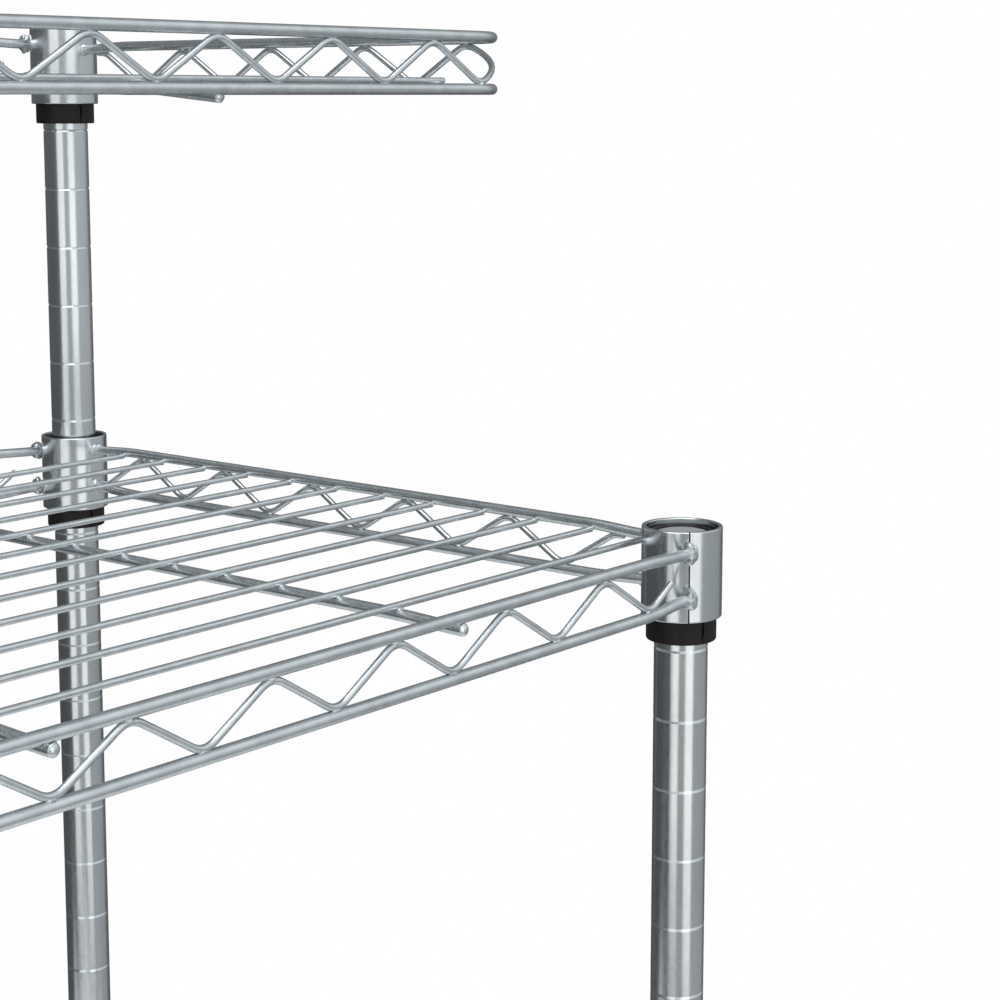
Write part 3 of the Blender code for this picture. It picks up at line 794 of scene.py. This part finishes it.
def build_rim():
    """The tray's front and sides: two chords bent round the corners, with one zigzag."""
    node = "upper_tray_rim_truss"
    low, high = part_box(node)
    front_y = low[1] + CHORD_RADIUS
    mid_z = (low[2] + high[2]) / 2
    rise = (high[2] - low[2]) / 2 - CHORD_RADIUS
    bend_rise = rise - ZIGZAG_DROP
    straight = POST_X - TRAY_CORNER_RADIUS
    arc = TRAY_CORNER_RADIUS * math.pi / 2
    corner_end = straight + arc
    side_end = corner_end + POST_Y - front_y - TRAY_CORNER_RADIUS

    shape = Shape()
    reach = side_end - COLLAR_RADIUS + SIDE_CHORD_SINK
    for sign in (-1, 1):
        runs = [0.0, straight] + [straight + arc * k / 14 for k in range(1, 15)]
        runs += [reach - PINCH_REACH * (1 - k / 10) for k in range(11)]
        runs = [-run for run in reversed(runs[1:])] + runs
        points = []
        for run in runs:
            ease = pinch(max(0.0, 1 - (reach - abs(run)) / PINCH_REACH))
            points.append((*rim_plan(run, front_y), mid_z + sign * (rise - CHORD_PINCH * ease)))
        tube(shape, points, CHORD_RADIUS, CHORD_SIDES)
        z = mid_z + sign * (rise - CHORD_PINCH)
        for end in (-1, 1):
            x, y = rim_plan(end * (reach - CHORD_BEAD_IN), front_y)
            blob(shape, (x, y, z), *CHORD_BEAD)
            blob(shape, (x, y - RIM_RUN_BEAD_IN, z + RUN_BEAD_UP * sign), *RIM_RUN_BEAD)

    front_end = POST_X - RIM_ZIGZAG_MARGIN
    half = []
    for k in range(int(front_end / HALF_PITCH)):
        half.append((front_end - HALF_PITCH * k, -1 if k % 2 == 0 else 1))
    half.append((0, -1))
    half.reverse()
    for k in range(int((POST_Y - front_y - TRAY_CORNER_RADIUS) / HALF_PITCH), 0, -1):
        half.append((side_end - k * HALF_PITCH, -half[-1][1]))
    stations = [(-run, sign) for run, sign in reversed(half[1:])] + half

    flat = bend_path(stations, lambda d, s: (d, mid_z + s * bend_rise, 0))
    fine = [flat[0]]
    for here in flat[1:]:
        start = fine[-1]
        near_corner = abs(here.x) > straight - 0.02
        parts = max(1, math.ceil((here - start).length / 0.004)) if near_corner else 1
        fine += [start.lerp(here, k / parts) for k in range(1, parts + 1)]
    tube(shape, [(*rim_plan(p.x, front_y), p.y) for p in fine], THIN_RADIUS, THIN_SIDES)
    for run, sign in stations:
        x, y = rim_plan(run, front_y)
        z = mid_z + sign * (bend_rise + BEND_BEAD_UP)
        blob(shape, (x, y, z), *(RIM_BEND_BEAD_X if abs(run) < straight else RIM_BEND_BEAD_Y))
    piece(node, shape, [WIRE, WELD])


def build_tray():
    """The raised tray that hangs forward from the two rear posts."""
    shelf = "upper_tray"
    for corner in ("rear_left", "rear_right"):
        build_collar(shelf, corner)
    build_rim()
    build_truss(shelf, "rear", face_stations())
    rim_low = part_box(shelf + "_rim_truss")[0]
    front = rim_low[1] + CHORD_RADIUS
    low_z = rim_low[2] + CHORD_RADIUS
    rear_low_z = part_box(shelf + "_truss_rear")[0][2] + CHORD_RADIUS
    rear = middle(shelf + "_truss_rear")[1]
    ys = [front + TRAY_DECK_START + DECK_PITCH * k for k in range(TRAY_WIRE_COUNT)]
    rib_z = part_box(shelf + "_deck")[1][2] - THIN_RADIUS - ZIGZAG_DROP
    rib_line = [
        (front + CHORD_RADIUS, low_z - TRAY_RIB_DROP),
        (ys[0], rib_z),
        (ys[-1], rib_z),
        (rear - CHORD_RADIUS, rear_low_z - TRAY_RIB_DROP),
    ]
    build_deck(shelf, [(y, POST_X + CHORD_RADIUS - WIRE_SHORT_OF_RIM) for y in ys], rib_line)


for name in CORNERS:
    build_post(name)
    build_cap(name)
    build_insert(name)
    build_foot(name)
for shelf_name, held_by in (("bottom", CORNERS), ("main", CORNERS), ("tray", CORNERS[2:])):
    for name in held_by:
        for part in ("inner", "outer"):
            build_sleeve(shelf_name, name, part)
build_shelf("bottom_shelf")
build_shelf("main_shelf")
build_tray()


# ---------------------------------------------------------------- floor, light, camera

FLOOR_HALF = 0.8
FLOOR_STEPS = 8
FLOOR_GREYS = (0.86, 0.90)
FLOOR_ROUGHNESS = 0.7
FRONT_LEAN = (0.15, -0.98, 0.0)
# Each stop is (place from 0 to 1, brightness), with the two ends first
WALL_STOPS = ((0.0, 0.10), (1.0, 0.45), (0.22, 0.10), (0.58, 0.17), (0.72, 0.40))
HEIGHT_STOPS = ((0.0, 0.35), (1.0, 1.0), (0.38, 0.40), (0.5, 0.60), (0.75, 0.90))
ROOM_STRENGTH = 2.35
ROOM_TINT = (0.97, 0.99, 1.0)
LIGHT_TARGET = (0, 0, 0.6)
PANEL_DISTANCE = 2.4
WARM = (1.0, 0.975, 0.93)
COOL = (0.98, 0.99, 1.0)
CAMERA_PLACE = (-0.3302, -0.5868, 0.8730)
CAMERA_YAW = 50.83
CAMERA_PITCH = 7.97
CAMERA_LENS = 78.17
CAMERA_SHIFT_Y = -0.10


def build_floor():
    """A plain pale floor in an even grid."""
    mesh = bpy.data.meshes.new("studio_floor")
    side = [FLOOR_HALF * (2 * k / FLOOR_STEPS - 1) for k in range(FLOOR_STEPS + 1)]
    verts = [(x, y, 0.0) for y in side for x in side]
    row = FLOOR_STEPS + 1
    faces = [(j * row + i, j * row + i + 1, (j + 1) * row + i + 1, (j + 1) * row + i)
             for j in range(FLOOR_STEPS) for i in range(FLOOR_STEPS)]
    mesh.from_pydata(verts, [], faces)
    floor = bpy.data.objects.new("studio_floor", mesh)
    bpy.context.scene.collection.objects.link(floor)
    material, tree, shader, coords = new_material("floor_white", metallic=0.0)
    clouds = noise_node(tree, coords, 3.0)
    stops = [(place, (grey, grey, grey)) for place, grey in zip(NOISE_SPAN, FLOOR_GREYS)]
    colour = ramp_node(tree, clouds, stops)
    tree.links.new(colour.outputs["Color"], shader.inputs["Base Color"])
    shader.inputs["Roughness"].default_value = FLOOR_ROUGHNESS
    mesh.materials.append(material)


def build_world():
    """White to the eye; the metal sees a soft studio, lighter in front and above."""
    world = bpy.data.worlds.new("studio")
    bpy.context.scene.world = world
    world.use_nodes = True
    tree = world.node_tree
    tree.nodes.clear()
    output = tree.nodes.new("ShaderNodeOutputWorld")
    mix = tree.nodes.new("ShaderNodeMixShader")
    seen = tree.nodes.new("ShaderNodeBackground")
    seen.inputs["Color"].default_value = (1, 1, 1, 1)
    room = tree.nodes.new("ShaderNodeBackground")
    path = tree.nodes.new("ShaderNodeLightPath")
    coords = tree.nodes.new("ShaderNodeTexCoord")
    both = tree.nodes.new("ShaderNodeMix")
    both.data_type = "RGBA"
    both.blend_type = "MULTIPLY"
    both.inputs["Factor"].default_value = 1.0
    for slot, lean, stops in (("A", FRONT_LEAN, WALL_STOPS), ("B", (0, 0, 1), HEIGHT_STOPS)):
        facing = tree.nodes.new("ShaderNodeVectorMath")
        facing.operation = "DOT_PRODUCT"
        facing.inputs[1].default_value = lean
        span = tree.nodes.new("ShaderNodeMapRange")
        span.inputs["From Min"].default_value = -1.0
        ramp = tree.nodes.new("ShaderNodeValToRGB")
        ramp.color_ramp.interpolation = "EASE"
        for number, (position, value) in enumerate(stops):
            elements = ramp.color_ramp.elements
            stop = elements[number] if number < 2 else elements.new(position)
            stop.position = position
            stop.color = (*(value * tint for tint in ROOM_TINT), 1.0)
        tree.links.new(coords.outputs["Generated"], facing.inputs[0])
        tree.links.new(facing.outputs["Value"], span.inputs["Value"])
        tree.links.new(span.outputs["Result"], ramp.inputs["Fac"])
        socket = [i for i in both.inputs if i.name == slot and i.type == "RGBA"][0]
        tree.links.new(ramp.outputs["Color"], socket)
    mixed = [o for o in both.outputs if o.type == "RGBA"][0]
    tree.links.new(mixed, room.inputs["Color"])
    room.inputs["Strength"].default_value = ROOM_STRENGTH
    tree.links.new(path.outputs["Is Camera Ray"], mix.inputs["Fac"])
    tree.links.new(room.outputs["Background"], mix.inputs[1])
    tree.links.new(seen.outputs["Background"], mix.inputs[2])
    tree.links.new(mix.outputs["Shader"], output.inputs["Surface"])


def add_light(name, azimuth, distance, height, size, power, colour):
    """A soft panel; azimuth is degrees from the front, towards the right."""
    data = bpy.data.lights.new(name, "AREA")
    data.shape = "RECTANGLE"
    data.size = size[0]
    data.size_y = size[1]
    data.energy = power
    data.color = colour
    light = bpy.data.objects.new(name, data)
    bpy.context.scene.collection.objects.link(light)
    angle = math.radians(azimuth)
    light.location = (distance * math.sin(angle), -distance * math.cos(angle), height)
    aim = Vector(LIGHT_TARGET) - light.location
    light.rotation_euler = aim.to_track_quat("-Z", "Y").to_euler()


build_floor()
build_world()
add_light("left_panel", -75, PANEL_DISTANCE, 0.8, (1.6, 2.6), 14, WARM)
add_light("right_panel", -10, PANEL_DISTANCE, 0.8, (1.5, 2.6), 10.5, WARM)
add_light("top_panel", -60, 0.5, 2.7, (2.0, 2.0), 32, COOL)

camera_data = bpy.data.cameras.new("photo_camera")
camera_data.lens = CAMERA_LENS
camera_data.sensor_width = 36.0
camera_data.shift_y = CAMERA_SHIFT_Y
camera_data.clip_start = 0.02
camera = bpy.data.objects.new("photo_camera", camera_data)
bpy.context.scene.collection.objects.link(camera)
camera.location = CAMERA_PLACE
camera.rotation_euler = (math.radians(90 - CAMERA_PITCH), 0, math.radians(-CAMERA_YAW))
bpy.context.scene.camera = camera
bpy.context.scene.view_settings.view_transform = "Standard"
